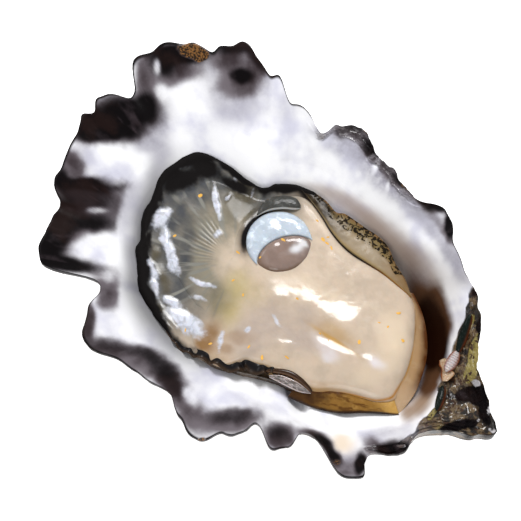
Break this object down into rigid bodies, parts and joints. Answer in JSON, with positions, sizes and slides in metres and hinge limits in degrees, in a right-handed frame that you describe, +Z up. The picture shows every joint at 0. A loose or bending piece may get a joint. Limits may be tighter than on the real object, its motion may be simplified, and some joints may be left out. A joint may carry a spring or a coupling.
{
  "type": "oyster on the half shell",
  "caption": "Shucked cupped oyster lying in its fluted lower shell, with belly, gills, ruffled mantle, split adductor muscle and hinge ligament.",
  "frame": {"origin": "middle of the shell's box in plan, on the surface that the shell stands on", "axes": "+X along the shell from the broad bill to the pointed hinge, +Z up out of the open shell, +Y to the far side"},
  "size_m": [0.1023, 0.0686, 0.0242],
  "materials": {
    "shell": "smooth pearly white inside, blue-black and brown rough layers at the edge and outside",
    "belly": "wet glossy cream flesh",
    "gills": "wet grey-cream pleated flesh",
    "mantle": "wet black and olive ruffled edge",
    "adductor_quick": "wet taupe muscle",
    "adductor_catch": "wet bluish white muscle",
    "hinge_ligament": "dark green-black and red-brown horny strap"
  },
  "bodies": {
    "root": {"shell": "shell", "belly": "belly", "gills": "gills", "mantle": "mantle", "adductor_quick": "adductor_quick", "adductor_catch": "adductor_catch", "hinge_ligament": "hinge_ligament"}
  },
  "joints": []
}
